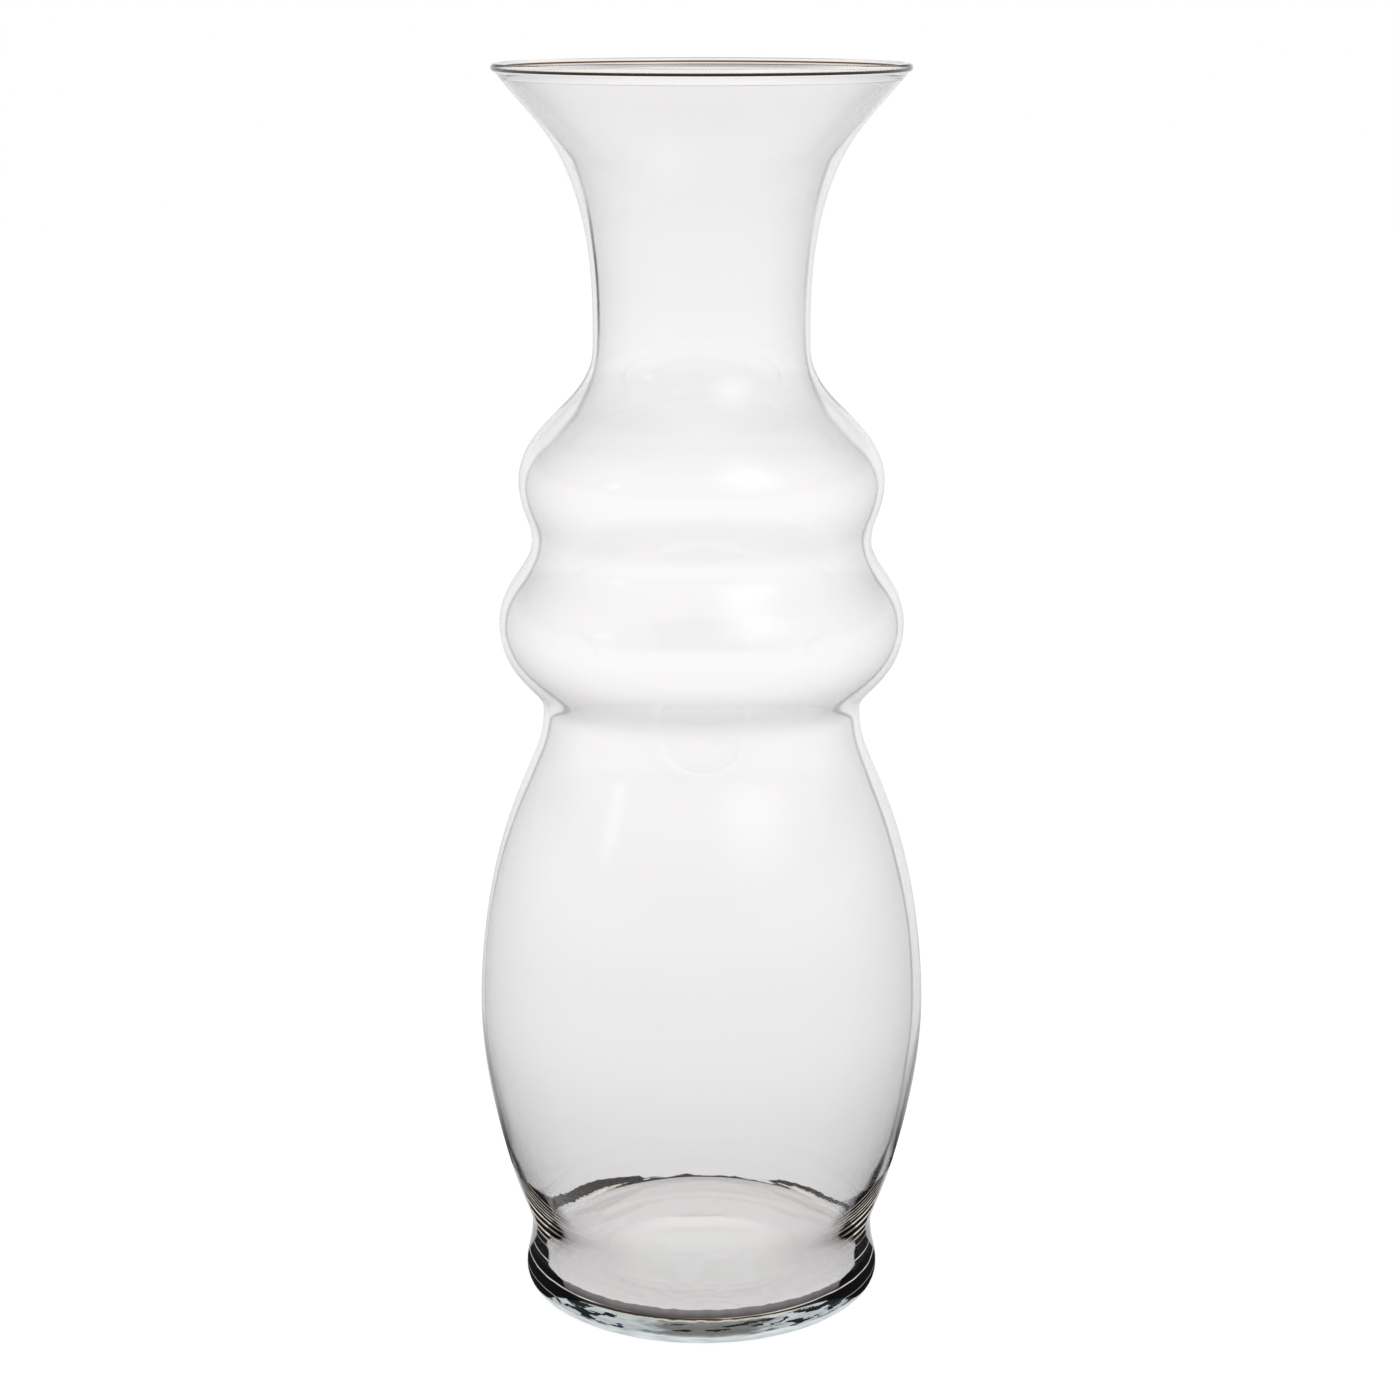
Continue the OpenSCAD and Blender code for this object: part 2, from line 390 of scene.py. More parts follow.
def beadOf(values):
    # rounded bead on the lip
    lean, half, bead = math.radians(values["lip"][2]), values["mouthWall"] / 2, values["beadRadius"]
    endX, endZ = values["lip"][0] - math.cos(lean) * half, values["lip"][1] + math.sin(lean) * half
    reach = math.sqrt(bead ** 2 - half ** 2)
    beadX, beadZ = endX + math.sin(lean) * reach, endZ + math.cos(lean) * reach
    meet = math.acos(half / bead)
    points = []
    for step in range(1, values["beadSteps"]):
        angle = -lean - meet + (math.pi + 2 * meet) * step / values["beadSteps"]
        points.append((beadX + math.cos(angle) * bead, beadZ + math.sin(angle) * bead))
    return points


def floorOf(values):
    # the floor inside, from its middle out to the rounded corner
    top, edge, bend = topOf("base_slab"), values["floorRadius"], values["cornerRadius"]
    level, turned = values["floorSteps"], values["cornerSteps"]
    points = [((edge - bend) * step / level, top) for step in range(level)]
    for step in range(turned):
        angle = math.radians(90 * step / turned)
        points.append((edge - bend + math.sin(angle) * bend, top + bend - math.cos(angle) * bend))
    return points


def vaseOutline(values):
    rest = (values["restRadius"], 0, values["restLean"], values["ankleWall"])
    foot = (halfWidth("base_slab"), values["footHeight"], 0, values["ankleWall"])
    ankle = (values["ankleRadius"], topOf("foot_ring"), 0, values["ankleWall"])
    heel = (*values["heel"], values["heelWall"])
    widest = (halfWidth("barrel_lower"), topOf("barrel_lower"), 0, values["barrelWall"])
    shoulder = (*values["shoulder"], values["barrelWall"])
    waist = (values["waistRadius"], topOf("barrel_shoulder"), 0, values["bulbWall"])
    lower = (halfWidth("lower_bulb_cup"), topOf("lower_bulb_cup"), 0, values["bulbWall"])
    dip = (values["dipRadius"], topOf("lower_bulb_crown"), 0, values["bulbWall"])
    upper = (halfWidth("upper_bulb_cup"), topOf("upper_bulb_cup"), 0, values["bulbWall"])
    slope = (*values["slope"], values["bulbWall"])
    neckLow = (halfWidth("neck"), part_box("neck")[0].z, 0, values["neckWall"])
    neckHigh = (halfWidth("neck"), topOf("neck"), 0, values["neckWall"])
    turn = (*values["turn"], values["mouthWall"])
    lip = (*values["lip"], values["mouthWall"])

    body = (ankle, heel, widest, shoulder, waist, lower, dip, upper, slope)
    base = alongWall((rest, foot, ankle), values["footCurves"])
    wall = alongWall((*body, neckLow, neckHigh, turn, lip), values["wallCurves"])
    outside = [place for place, way, thick in base + wall[1:]]
    inside = [(place[0] - way[1] * thick, place[1] + way[0] * thick) for place, way, thick in wall]
    edge, bend, ankleInside = values["floorRadius"], values["cornerRadius"], inside[0]
    onFloor = (edge, topOf("base_slab") + bend, 0, 0)
    corner = curveBetween(onFloor, (*ankleInside, 0, 0), *values["cornerCurve"])[:-1]
    corner = [place for place, way, thick in corner]
    upward = undersideOf(values) + outside + beadOf(values)
    downward = inside[::-1] + corner[::-1] + floorOf(values)[::-1]
    return [tuple(place) for place in upward + downward]


def turnedGlass(name, outline, turns, merge):
    # a small plane merged to the line's first point, drawn out along the line and turned round the axis
    first = outline[0]
    bpy.ops.mesh.primitive_plane_add(size=0.01, location=(first[0], 0, first[1]))
    piece = bpy.context.active_object
    piece.name = name
    bpy.ops.object.transform_apply(location=True)
    bpy.ops.object.mode_set(mode="EDIT")
    bpy.ops.mesh.select_all(action="SELECT")
    bpy.ops.mesh.merge(type="CENTER")
    for here, there in zip(outline, outline[1:]):
        step = (there[0] - here[0], 0, there[1] - here[1])
        bpy.ops.mesh.extrude_vertices_move(TRANSFORM_OT_translate={"value": step})
    bpy.ops.mesh.select_all(action="SELECT")
    bpy.ops.mesh.spin(steps=turns, angle=math.tau, center=(0, 0, 0), axis=(0, 0, 1))
    bpy.ops.mesh.select_all(action="SELECT")
    bpy.ops.mesh.remove_doubles(threshold=merge)
    bpy.ops.mesh.normals_make_consistent(inside=False)
    bpy.ops.object.mode_set(mode="OBJECT")
    bpy.ops.object.shade_smooth()
    return piece


# the glass: clear, with the marks of hand blowing, and with painted light and shade; lengths are in
# millimetres, apart from the height of the waves, the middle of the bead and places to the left or right,
# which are in metres
glassValues = {
    "bend": 1.5,  # index of refraction
    "wave": 0.00006,  # height in metres of the slow waves over the whole wall
    "rings": 0.00004,  # and of the chill rings low on the wall
    "ringsFade": (62, 25),  # heights between which they come in
    # noises: scale, how much finer along x, y and z, and detail
    "waveNoise": (16, (1, 1, 0.6), 2.0),
    "ringNoise": (12, (1, 1, 30), 2.0),
    "jagNoise": (260, (1, 1, 1), 3.0),  # fine raggedness of the edges
    "slowNoise": (45, (1, 1, 1), 2.0),  # slow wander
    "streakNoise": (120, (1, 1, 9), 3.0),
    "fleckNoise": (620, (1, 1, 1), 5.0),
    "fleckGroupNoise": (38, (1, 1, 2), 1.0),
    "tint": (1.0, 0.955, 0.968),
    "tone": (  # painted shade by height: how much light the whole wall lets through
        (0, 0.80), (12, 0.78), (20, 0.705), (38, 0.86), (60, 0.795), (75, 0.795), (97, 0.85),
        (125, 0.875), (150, 0.93), (193, 1.0), (300, 1.0), (332, 0.915), (356, 0.91), (376, 0.98),
        (395, 0.995), (400, 0.995),
    ),
    "line": (  # how far aslant the wall is where it shows its dark line, by height
        (0, 0.80), (42, 0.80), (43, 0.74), (60, 0.81), (85, 0.77), (130, 0.78), (175, 0.70),
        (205, 0.73), (213, 0.69), (226, 0.75), (242, 0.68), (262, 0.74), (272, 0.72), (286, 0.60),
        (294, 0.60), (310, 0.71), (320, 0.68), (347, 0.68), (360, 0.65), (372, 0.65), (384, 0.84),
        (400, 0.84),
    ),
    "thicker": 0.055,  # how much further in the line lies on one side, low down
    "thickerFade": (200, 150),
    "lineUneven": 0.5,  # how much its depth wanders
    "shade": (  # soft shade up to the line and the pale band past it
        (-0.6, 1.0), (-0.46, 0.98), (-0.31, 0.92), (-0.19, 0.85), (-0.12, 0.80), (-0.05, 0.75),
        (-0.012, 0.75), (0.016, 0.89), (0.05, 0.97), (0.12, 0.99), (0.4, 0.99),
    ),
    "thin": ((-4, 0), (-1.9, 0), (-0.6, 1), (0.4, 1), (1.5, 0), (4, 0)),  # the line across its width
    "depth": (  # how dark the line is, by height
        (0, 0.95), (50, 0.92), (64, 0.40), (72, 0.30), (110, 0.40), (160, 0.42), (225, 0.30),
        (271, 0.28), (290, 0.05), (310, 0.36), (340, 0.58), (362, 0.22), (376, 0.18), (384, 0.05),
        (400, 0.02),
    ),
    "lineWiden": (50, 60, 0.35, 1),  # two heights, and the share of the distance from it that counts
    "neckSide": -0.36,  # how much darker it is on one side of the neck
    "neckFrom": (305, 325),
    "neckTo": (362, 350),
    "inEdge": (  # the dark sides low down, by height: where they begin
        (0, 1.0), (2.2, 0.9), (3, 0.68), (3.8, 0.57), (6.2, 0.42), (8.6, 0.24), (9, 0), (9.5, 0),
        (9.7, 0.27), (10.2, 0.37), (12, 0.40), (13.5, 0.55), (18.7, 0.61), (22, 0.69), (28, 0.735),
        (36, 0.60), (43, 0.60), (46, 0.66), (60, 0.8),
    ),
    "outEdge": (  # and where they end
        (0, 1.05), (4.5, 1.05), (6.5, 0.93), (8.4, 0.875), (19, 0.79), (23, 0.85), (30, 0.89),
        (40, 0.845), (60, 0.83),
    ),
    "sidesTop": 44.3,  # and how high they reach
    "sidesJag": 3.5,
    "edgeJag": 0.04,
    "inSoft": 0.02,  # how softly they begin, end and stop above
    "outSoft": 0.03,
    "topSoft": 0.5,
    "fanAslant": (0.50, 0.60),  # the paler fan at their top: where it comes in
    "fanHeight": (33, 37),
    "fanDepth": 0.72,
    # painted shade of the dark sides: what they let through and what they glow with
    "sidesThrough": (0.012, 0.012, 0.014),
    "sidesShown": (0.004, 0.004, 0.005),
    "rimInner": (0.36, 0.35, 0.36),  # painted light: a pale glow outside the dark sides
    "rimOuter": (0.60, 0.60, 0.62),
    "rimAslant": (0.86, 0.98),
    "rimFrom": (7.0, 8.5),
    "lowShade": (  # painted shade: soft darkening of the low wall, by how far aslant it is
        (0, 0), (0.12, 0), (0.30, 0.10), (0.50, 0.36), (0.60, 0.5), (0.75, 0.5), (1, 0.3),
    ),
    "veilFrom": (24, 40),
    "veilTo": (105, 45),
    "veilDepth": 0.25,
    "veilColour": (0.25, 0.25, 0.255),
    "threads": (  # painted glints as bright threads: height, half width and strength
        (5.6, 0.18, 0.5), (9.7, 0.28, 1.0), (14.7, 0.3, 0.9), (19.4, 0.28, 0.35), (22.4, 0.55, 0.7),
        (25.3, 0.75, 1.0), (29.5, 1.15, 1.0), (34.0, 1.05, 1.0), (37.6, 0.6, 0.85), (40.4, 0.65, 0.9),
        (43.2, 0.5, 0.8), (46.0, 0.5, 0.7), (49.5, 0.5, 0.6),
    ),
    "threadWander": 1.6,
    "threadSink": 70,  # how much they sink towards the silhouette
    "threadSinkFrom": (27, 47),
    "threadMiddle": 0.84,  # how far aslant the wall is where they keep their height
    "threadCore": 0.35,  # share of its half width where a thread is at its brightest
    "threadStreaks": (0.36, 0.50, 0.6, 1.0),  # two levels of streak noise, and how bright it is there
    "threadInward": 0.16,  # how far they run on past the dark sides
    "threadFaint": 0.35,  # and how faint there
    # colour that the painted glints glow with
    "threadColour": (0.74, 0.69, 0.61),
    "bandTop": 16,
    "band": (  # painted light and shade of the band round the foot, from the table up to bandTop
        (0.0, (0.50, 0.55, 0.62)), (0.03, (0.62, 0.67, 0.69)), (0.20, (0.66, 0.70, 0.71)),
        (0.23, (0.46, 0.51, 0.52)), (0.52, (0.50, 0.55, 0.56)), (0.54, (0.62, 0.58, 0.44)),
        (0.557, (0.30, 0.22, 0.12)), (0.57, (0.03, 0.018, 0.012)), (0.60, (0.05, 0.038, 0.034)),
        (0.64, (0.085, 0.072, 0.072)), (0.70, (0.15, 0.135, 0.14)), (0.757, (0.21, 0.19, 0.20)),
        (0.765, (0.30, 0.28, 0.30)), (1.0, (0.30, 0.28, 0.30)),
    ),
    "bandJag": 1.3,
    "bandFade": (12.15, 12.35),  # heights between which it ends
    "mottledFade": (8.6, 8.2),  # and below which it is mottled
    "cloud": (0.185, 0.185, 0.18),  # painted grey patch in the middle of the band
    "cloudMiddle": 0.003,
    "cloudFade": (0.040, 0.028),
    "cloudFrom": (3.2, 4.2),
    "cloudTo": (8.5, 8.2),
    "cloudRagged": 0.03,
    "grain": (0.35, 0.65, 0.82, 1.12),  # two levels of streak noise, and how bright the band is there
    "grainFade": (8.8, 8.2),
    "fleck": (0.015, 0.02, 0.022),
    "fleckFrom": (3.0, 4.0),
    "fleckRing": 0.011,  # how much they are drawn out along the ring
    "fleckGroups": 0.30,
    "fleckSides": (0.016, 0.044),  # more of them from the first distance off the middle to the second
    "fleckMore": 0.10,
    "fleckLimit": (0.735, 0.765),
    "cornerLow": (  # the corner inside, by how far aslant it is met: where its dark line begins
        (0, 0.40), (0.10, 0.41), (0.16, 0.455), (0.25, 0.51), (0.45, 0.555), (0.60, 0.63), (0.77, 0.73),
        (1, 0.8),
    ),
    "cornerHigh": (  # and where it ends
        (0, 0.455), (0.10, 0.475), (0.16, 0.54), (0.25, 0.635), (0.35, 0.70), (0.45, 0.73),
        (0.60, 0.84), (0.77, 1.0), (1, 1.0),
    ),
    "cornerScale": 20,  # height at 1 in the two lists
    "cornerSpread": (24, 10),  # and the same for the line's thickness, at the left and at the right
    "cornerSides": (-0.03, 0.035),
    "cornerJag": 1.5,
    "cornerWander": 1.2,
    "cornerSoft": (0.15, 0.1),  # how softly it ends above and below
    "fringeBelow": 0.25,  # how far below the dark line the middle of the warm fringe lies
    "fringeFade": (0.35, 0.1),  # distances from there at which it is gone and full
    "cornerAslant": (0.80, 0.72),  # it fades where the wall is seen more aslant
    "wallFrom": (51.7, 52.0),  # radii between which the floor turns into the wall
    # painted shade of the corner line and its warm fringe
    "cornerColour": (0.0004, 0.0002, 0.0002),
    "cornerFringe": (0.62, 0.50, 0.30),
    "bead": (  # painted dark line and warm fringe on the lip's bead, by how far up it faces: 0 down, 1 up
        (0.0, (0.98, 0.98, 0.99)), (0.15, (0.98, 0.98, 0.99)), (0.19, (0.03, 0.02, 0.02)),
        (0.455, (0.01, 0.006, 0.004)), (0.50, (0.45, 0.33, 0.20)), (0.55, (0.98, 0.95, 0.92)),
        (1.0, (0.98, 0.98, 0.98)),
    ),
    "beadFrom": (397.3, 397.6),
    "beadMiddle": 0.398,  # height of the bead's middle in metres
    "beadTurn": (-0.01, 0.0),  # from facing the axis to facing away from it
    "beadInside": 0.26,  # how much higher the line lies on the inside
    # painted light and shade of the underside, seen through the floor
    "discRadius": 33,  # of the hollow under the base
    "discInside": (0.98, 1.0, 0.97),
    "discOutside": (0.84, 0.815, 0.81),
    "discEdge": (0.4, 0.4, 0.38),
    "discLine": (0.5, 0.1, 0, 0.2),  # two distances from its edge, and how much of the edge's colour there
    "discFade": (-12, 3),
    "discWander": 3.0,
    "underFade": (1.6, 1.3),  # heights between which the underside begins
    "swirlWander": 34,
    "swirlTurns": 0.9,
    "swirlWaves": (0.42, 0.62),  # levels of the wave noise between which it comes in
    "swirlDepth": (0.93, 1.05),
    "farWall": (0.99, 0.995, 0.99),
    "piped": (0.42, 0.43, 0.43),  # painted glow standing in for light that has run round inside the foot
    "pipedBounces": (3.4, 3.6),  # reflections after which it shows
    "pipedFade": (10, 8.5),
}
markNames = (
    "Height", "Radius", "Jag", "Streak", "Threads", "Flecks",
    "Corner", "Fringe", "Disc", "Waves", "Rings", "Slow",
)


def threadsOn(group, values, height, slow, facing):
    # painted glints: thin level rings of uneven spacing low on the wall
    wander = times(group, slow, values["threadWander"])
    sink = mapped(group, height, *values["threadSinkFrom"], 0, values["threadSink"])
    sink = times(group, sink, minus(group, values["threadMiddle"], facing))
    level = plus(group, height, wander, sink)
    threads = None
    for ringHeight, thick, strength in values["threads"]:
        away = maths(group, "ABSOLUTE", minus(group, level, ringHeight))
        line = mapped(group, away, thick, thick * values["threadCore"], 0, strength, True)
        threads = line if threads is None else maths(group, "MAXIMUM", threads, line)
    return threads


def flecksOn(group, values, place):
    # black flecks and streaks, drawn out along the ring and more of them towards the sides
    x, y, z = partsOf(group, place)
    along = put(group, "ShaderNodeCombineXYZ")
    wire(group, times(group, maths(group, "ARCTAN2", x, y), values["fleckRing"]), along.inputs["X"])
    wire(group, z, along.inputs["Y"])
    fine = noiseOn(group, along.outputs[0], *values["fleckNoise"])
    aside = maths(group, "ABSOLUTE", x)
    fine = plus(group, fine, mapped(group, aside, *values["fleckSides"], 0, values["fleckMore"], True))
    groups = noiseOn(group, place, *values["fleckGroupNoise"])
    both = plus(group, fine, times(group, groups, values["fleckGroups"]))
    return mapped(group, both, *values["fleckLimit"], 0, 1, True)


def cornerOn(group, values, place, height, radius, jag, slow, facing):
    # painted shade where the floor meets the wall: dark between two heights, higher where it is met aslant,
    # and a painted warm fringe below it
    ragged = plus(group, times(group, jag, values["cornerJag"]), times(group, slow, values["cornerWander"]))
    uneven = plus(group, height, ragged)
    bottom = curveOf(group, facing, values["cornerLow"])
    top = curveOf(group, facing, values["cornerHigh"])
    low = times(group, bottom, values["cornerScale"])
    spread = mapped(group, partsOf(group, place)[0], *values["cornerSides"], *values["cornerSpread"])
    high = plus(group, low, times(group, minus(group, top, bottom), spread))
    softHigh, softLow = values["cornerSoft"]
    below = mapped(group, minus(group, uneven, high), softHigh, -softHigh)
    over = minus(group, uneven, low)
    above = mapped(group, over, -softLow, softLow)
    onWall = mapped(group, radius, *values["wallFrom"])
    onWall = times(group, onWall, mapped(group, facing, *values["cornerAslant"]))
    corner = times(group, below, above, onWall)
    nearby = maths(group, "ABSOLUTE", plus(group, over, values["fringeBelow"]))
    return corner, times(group, mapped(group, nearby, *values["fringeFade"]), onWall)


def marksAndPaintedLight(values):
    # masks, by their place on the vase, of the marks that the glass carries and of where light and shade
    # are painted
    group = bpy.data.node_groups.new("blown glass marks", "ShaderNodeTree")
    group.interface.new_socket(name="Place", in_out="INPUT", socket_type="NodeSocketVector")
    group.interface.new_socket(name="Facing", in_out="INPUT", socket_type="NodeSocketFloat")
    for name in markNames:
        group.interface.new_socket(name=name, in_out="OUTPUT", socket_type="NodeSocketFloat")
    source = put(group, "NodeGroupInput").outputs
    result = put(group, "NodeGroupOutput").inputs
    place, facing = source["Place"], source["Facing"]
    height = times(group, partsOf(group, place)[2], 1000)  # millimetres from here on
    flat = put(group, "ShaderNodeVectorMath", operation="MULTIPLY")
    flat.inputs[1].default_value = (1000, 1000, 0)
    wire(group, place, flat.inputs[0])
    length = put(group, "ShaderNodeVectorMath", operation="LENGTH")
    wire(group, flat.outputs[0], length.inputs[0])
    radius = length.outputs["Value"]
    jag = minus(group, noiseOn(group, place, *values["jagNoise"]), 0.5)
    slow = minus(group, noiseOn(group, place, *values["slowNoise"]), 0.5)
    streak = noiseOn(group, place, *values["streakNoise"])
    threads = threadsOn(group, values, height, slow, facing)
    corner, fringe = cornerOn(group, values, place, height, radius, jag, slow, facing)
    flecks = flecksOn(group, values, place)
    discEdge = plus(group, times(group, slow, values["discWander"]), values["discRadius"])
    disc = minus(group, radius, discEdge)  # below 0 inside the hollow
    waves = noiseOn(group, place, *values["waveNoise"])
    rings = noiseOn(group, place, *values["ringNoise"])
    rings = times(group, rings, mapped(group, height, *values["ringsFade"], 0, 1, True))
    marks = (height, radius, jag, streak, threads, flecks, corner, fringe, disc, waves, rings, slow)
    for name, mark in zip(markNames, marks):
        wire(group, mark, result[name])
    return group


def wallEdges(tree, values, marks, facing, x):
    # painted shade where the eye looks along the wall: a soft shade, a thin dark line, a pale band outside
    # it
    height, radius = marks["Height"], marks["Radius"]
    aslant = times(tree, maths(tree, "DIVIDE", x, radius), 1000)  # from -1 at the left to 1 at the right
    line = curveOf(tree, height, values["line"])
    thicker = mapped(tree, height, *values["thickerFade"], 0, values["thicker"])
    line = minus(tree, line, times(tree, aslant, thicker))
    past = minus(tree, facing, line)
    shade = curveOf(tree, past, values["shade"])
    beside = times(tree, past, radius)  # close to the distance across the view
    beside = times(tree, beside, mapped(tree, height, *values["lineWiden"]))
    thin = curveOf(tree, beside, values["thin"])
    depth = curveOf(tree, height, values["depth"])
    neck = mapped(tree, height, *values["neckFrom"], 0, values["neckSide"], True)
    neck = times(tree, neck, mapped(tree, height, *values["neckTo"]))
    depth = plus(tree, depth, times(tree, neck, aslant))
    depth = maths(tree, "ADD", depth, times(tree, marks["Slow"], values["lineUneven"]), True)
    return mixed(tree, times(tree, thin, depth), shade, (0, 0, 0))


def lowSides(tree, values, marks, facing):
    # painted shade on the sides of the foot, ankle and heel, where the thick glass bends the light away: a
    # dark part between an inner, an outer and an upper edge, a painted pale glow outside it, and painted
    # glints on it
    height, jag = marks["Height"], marks["Jag"]
    inEdge = curveOf(tree, height, values["inEdge"])
    inEdge = plus(tree, inEdge, times(tree, jag, values["edgeJag"]))
    outEdge = curveOf(tree, height, values["outEdge"])
    topEdge = plus(tree, times(tree, jag, values["sidesJag"]), values["sidesTop"])
    pastInner = mapped(tree, facing, inEdge, plus(tree, inEdge, values["inSoft"]), 0, 1, True)
    beforeOuter = mapped(tree, facing, outEdge, plus(tree, outEdge, values["outSoft"]), 1, 0, True)
    low = mapped(tree, minus(tree, height, topEdge), values["topSoft"], -values["topSoft"], 0, 1, True)
    dark = times(tree, pastInner, beforeOuter, low)
    fan = mapped(tree, facing, *values["fanAslant"], 0, values["fanDepth"], True)
    fan = times(tree, fan, mapped(tree, height, *values["fanHeight"], 0, 1, True))
    dark = maths(tree, "MAXIMUM", dark, times(tree, fan, beforeOuter, low))
    pale = times(tree, minus(tree, 1.0, beforeOuter), mapped(tree, height, *values["rimFrom"]), low)
    reach = mapped(tree, facing, minus(tree, inEdge, values["threadInward"]), inEdge, 0, 1, True)
    reach = times(tree, maths(tree, "MAXIMUM", times(tree, reach, values["threadFaint"]), dark), low)
    threads = times(tree, marks["Threads"], reach, mapped(tree, marks["Streak"], *values["threadStreaks"]))
    return dark, pale, threads


def footBand(tree, values, marks, x):
    # painted light and shade of the band round the foot, where the corner inside is seen through the glass,
    # shown
    # as a glow: a grey patch over a black line with a warm fringe, and mottled glass below
    height, streak = marks["Height"], marks["Streak"]
    level = plus(tree, height, times(tree, marks["Jag"], values["bandJag"]))
    band = rampOf(tree, mapped(tree, level, 0, values["bandTop"]), values["band"])
    aside = maths(tree, "ABSOLUTE", minus(tree, x, values["cloudMiddle"]))
    ragged = times(tree, streak, values["cloudRagged"])
    cloud = mapped(tree, plus(tree, aside, ragged), *values["cloudFade"], 0, 1, True)
    cloud = times(tree, cloud, mapped(tree, level, *values["cloudFrom"]))
    cloud = times(tree, cloud, mapped(tree, level, *values["cloudTo"]))
    band = mixed(tree, cloud, band, values["cloud"])
    grain = mapped(tree, streak, *values["grain"])
    grain = mixed(tree, mapped(tree, height, *values["grainFade"]), (1, 1, 1), grain)
    band = mixed(tree, 1.0, band, grain, "MULTIPLY")
    flecks = times(tree, marks["Flecks"], mapped(tree, level, *values["mottledFade"]))
    flecks = times(tree, flecks, mapped(tree, height, *values["fleckFrom"]))
    band = mixed(tree, flecks, band, values["fleck"])
    return band, minus(tree, 1.0, mapped(tree, level, *values["bandFade"]))


def beadLine(tree, values, place, normal):
    # painted shade: the dark line, with a warm fringe, that the lip's round bead bends the room's dark
    # corners into
    upright = partsOf(tree, normal)[2]
    leaned = minus(tree, dotOf(tree, normal, place), times(tree, upright, values["beadMiddle"]))
    inward = mapped(tree, leaned, *values["beadTurn"], values["beadInside"], 0)
    return rampOf(tree, mapped(tree, minus(tree, upright, inward), -1, 1), values["bead"])


def underBase(tree, values, marks):
    # painted light and shade of the underside seen through the floor: the hollow's disc, its faint edge, a
    # swirl
    disc = marks["Disc"]
    fade = mapped(tree, disc, *values["discFade"], 0, 1, True)
    under = mixed(tree, fade, values["discInside"], values["discOutside"])
    edge = mapped(tree, maths(tree, "ABSOLUTE", disc), *values["discLine"], True)
    under = mixed(tree, edge, under, values["discEdge"])
    swirl = plus(tree, marks["Radius"], times(tree, marks["Slow"], values["swirlWander"]))
    swirl = maths(tree, "SINE", times(tree, swirl, values["swirlTurns"]))
    swirl = times(tree, swirl, mapped(tree, marks["Waves"], *values["swirlWaves"]))
    return mixed(tree, 1.0, under, mapped(tree, swirl, -1, 1, *values["swirlDepth"]), "MULTIPLY")


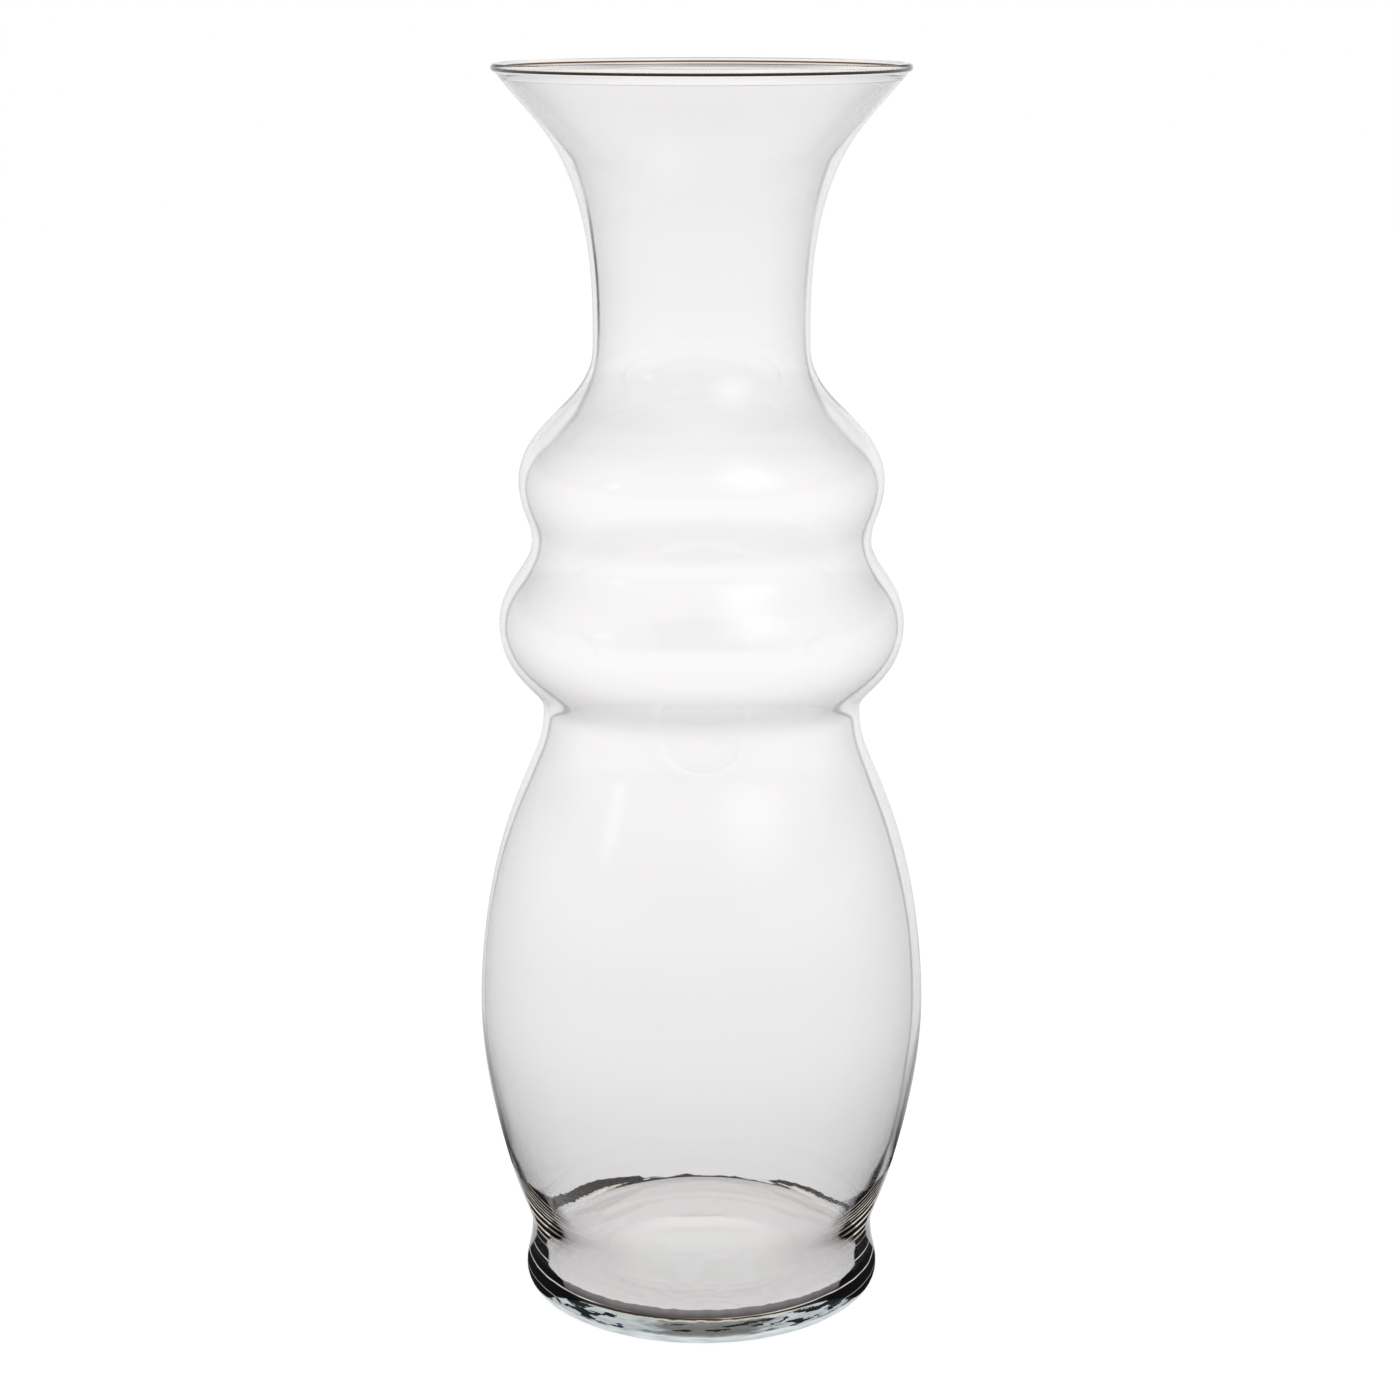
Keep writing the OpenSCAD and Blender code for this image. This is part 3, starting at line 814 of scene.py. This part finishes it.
def clearGlass(values):
    material = bpy.data.materials.new("clear blown glass")
    tree = freshTree(material)
    output = put(tree, "ShaderNodeOutputMaterial")
    glass = put(tree, "ShaderNodeBsdfPrincipled")
    glass.inputs["Roughness"].default_value = 0.0
    glass.inputs["IOR"].default_value = values["bend"]
    glass.inputs["Transmission Weight"].default_value = 1.0
    glass.inputs["Emission Strength"].default_value = 1.0
    wire(tree, glass.outputs[0], output.inputs["Surface"])

    place = put(tree, "ShaderNodeTexCoord").outputs["Object"]
    path = put(tree, "ShaderNodeLightPath").outputs
    shape = put(tree, "ShaderNodeNewGeometry").outputs
    layer = put(tree, "ShaderNodeLayerWeight")
    layer.inputs["Blend"].default_value = 0.5
    facing = layer.outputs["Facing"]
    group = put(tree, "ShaderNodeGroup", node_tree=marksAndPaintedLight(values))
    wire(tree, place, group.inputs["Place"])
    wire(tree, facing, group.inputs["Facing"])
    marks = group.outputs
    height, x = marks["Height"], partsOf(tree, place)[0]

    # the side that the eye meets first: what it lets through, with painted shade, and its painted glow of
    # light
    dark, pale, threads = lowSides(tree, values, marks, facing)
    band, onBand = footBand(tree, values, marks, x)
    # painted shade: soft darkening of the low wall where it is seen aslant
    lowShade = curveOf(tree, facing, values["lowShade"])
    lowShade = times(tree, lowShade, mapped(tree, height, *values["veilTo"], 0, 1, True))
    lowShade = times(tree, lowShade, mapped(tree, height, *values["veilFrom"], 0, values["veilDepth"], True))
    onBead = mapped(tree, height, *values["beadFrom"])
    bead = beadLine(tree, values, place, shape["Normal"])
    # painted shade by height, on the side that the eye meets first
    tone = curveOf(tree, height, values["tone"])
    through = mixed(tree, 1.0, tone, wallEdges(tree, values, marks, facing, x), "MULTIPLY")
    # painted shade and marks laid over what the first side lets through
    for mask, colour in (
        (lowShade, values["veilColour"]), (dark, values["sidesThrough"]), (onBand, (0, 0, 0)),
        (threads, (0, 0, 0)), (pale, (0, 0, 0)), (onBead, bead),
    ):
        through = mixed(tree, mask, through, colour)
    # squared, because the shader takes its root
    through = mixed(tree, 1.0, through, through, "MULTIPLY", True)
    through = mixed(tree, 1.0, through, values["tint"], "MULTIPLY")
    # painted light: the pale glow past the dark sides, and the glow of the band, the dark sides and the
    # glints
    rim = mixed(tree, mapped(tree, facing, *values["rimAslant"]), values["rimInner"], values["rimOuter"])
    paintedGlow = (0, 0, 0)
    for mask, colour in (
        (onBand, band), (dark, values["sidesShown"]), (pale, rim), (threads, values["threadColour"]),
    ):
        paintedGlow = mixed(tree, mask, paintedGlow, colour)

    # every side that is met after the first
    onBase = mapped(tree, height, *values["underFade"])
    behind = mixed(tree, onBase, values["farWall"], underBase(tree, values, marks))
    fromAir = minus(tree, 1.0, shape["Backfacing"])
    # painted shade and fringe at the corner inside, where it is met from the air
    behind = mixed(tree, times(tree, marks["Fringe"], fromAir), behind, values["cornerFringe"])
    behind = mixed(tree, times(tree, marks["Corner"], fromAir), behind, values["cornerColour"])
    # painted glow for light that has run round inside the foot
    piped = mapped(tree, path["Glossy Depth"], *values["pipedBounces"])
    piped = times(tree, piped, mapped(tree, height, *values["pipedFade"]))
    piped = mixed(tree, piped, (0, 0, 0), values["piped"])
    wire(tree, mixed(tree, path["Is Camera Ray"], behind, through), glass.inputs["Base Color"])
    wire(tree, mixed(tree, path["Is Camera Ray"], piped, paintedGlow), glass.inputs["Emission Color"])

    # slow waves all over, and chill rings low down
    waves = put(tree, "ShaderNodeBump")
    waves.inputs["Distance"].default_value = values["wave"]
    wire(tree, marks["Waves"], waves.inputs["Height"])
    rings = put(tree, "ShaderNodeBump")
    rings.inputs["Distance"].default_value = values["rings"]
    wire(tree, marks["Rings"], rings.inputs["Height"])
    wire(tree, waves.outputs[0], rings.inputs["Normal"])
    wire(tree, rings.outputs[0], glass.inputs["Normal"])
    return material


vase = turnedGlass("glass_vessel", vaseOutline(vaseValues), vaseValues["turns"], vaseValues["merge"])
vase.data.materials.append(clearGlass(glassValues))
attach(vase, "root")
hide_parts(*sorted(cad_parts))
print("vessel turned:", len(vase.data.vertices), "points")
